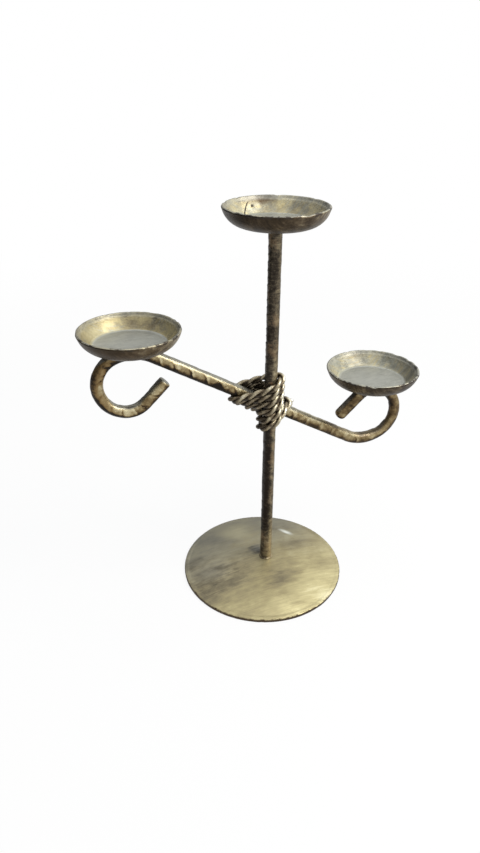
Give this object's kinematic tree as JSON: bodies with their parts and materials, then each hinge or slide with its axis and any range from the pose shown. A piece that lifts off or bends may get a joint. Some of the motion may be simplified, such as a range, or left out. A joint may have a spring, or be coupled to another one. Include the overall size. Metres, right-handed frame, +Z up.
{
  "type": "candle stand",
  "caption": "Small hammered-metal candle stand: a straight stem on a round disc, with a pan on top and a hooked arm, lashed on with twisted wire, that holds a higher and a lower pan.",
  "frame": {"origin": "on the floor, in the middle of the stand's footprint box; the stem's axis stands 2.7 mm to its +X side", "axes": "+Z up along the stem; +X from the high side pan towards the low side pan; -Y is the front, where the stem passes in front of the arm"},
  "size_m": [0.117, 0.06, 0.136],
  "materials": {
    "base_finish": "black enamel rubbed with dull olive gold, streaked by the brush",
    "stem_finish": "near-black brown, with worn gold on the crests between the hammer marks",
    "arm_finish": "gold rubbed over black, bright on the crests and dark in the hammer marks",
    "pan_finish": "pale worn gold inside, dark brown-black under the rim",
    "wire_finish": "dark bronze with bright worn crests",
    "weld_finish": "blackened bead"
  },
  "bodies": {
    "root": {"base_disc": "base_finish", "stem": "stem_finish", "arm": "arm_finish", "top_pan": "pan_finish", "high_pan": "pan_finish", "low_pan": "pan_finish", "binding_wire_a": "wire_finish", "binding_wire_b": "wire_finish", "stem_foot_weld": "weld_finish", "top_pan_weld": "weld_finish", "high_pan_weld": "weld_finish", "low_pan_weld": "weld_finish", "crossing_weld": "weld_finish"}
  },
  "joints": []
}
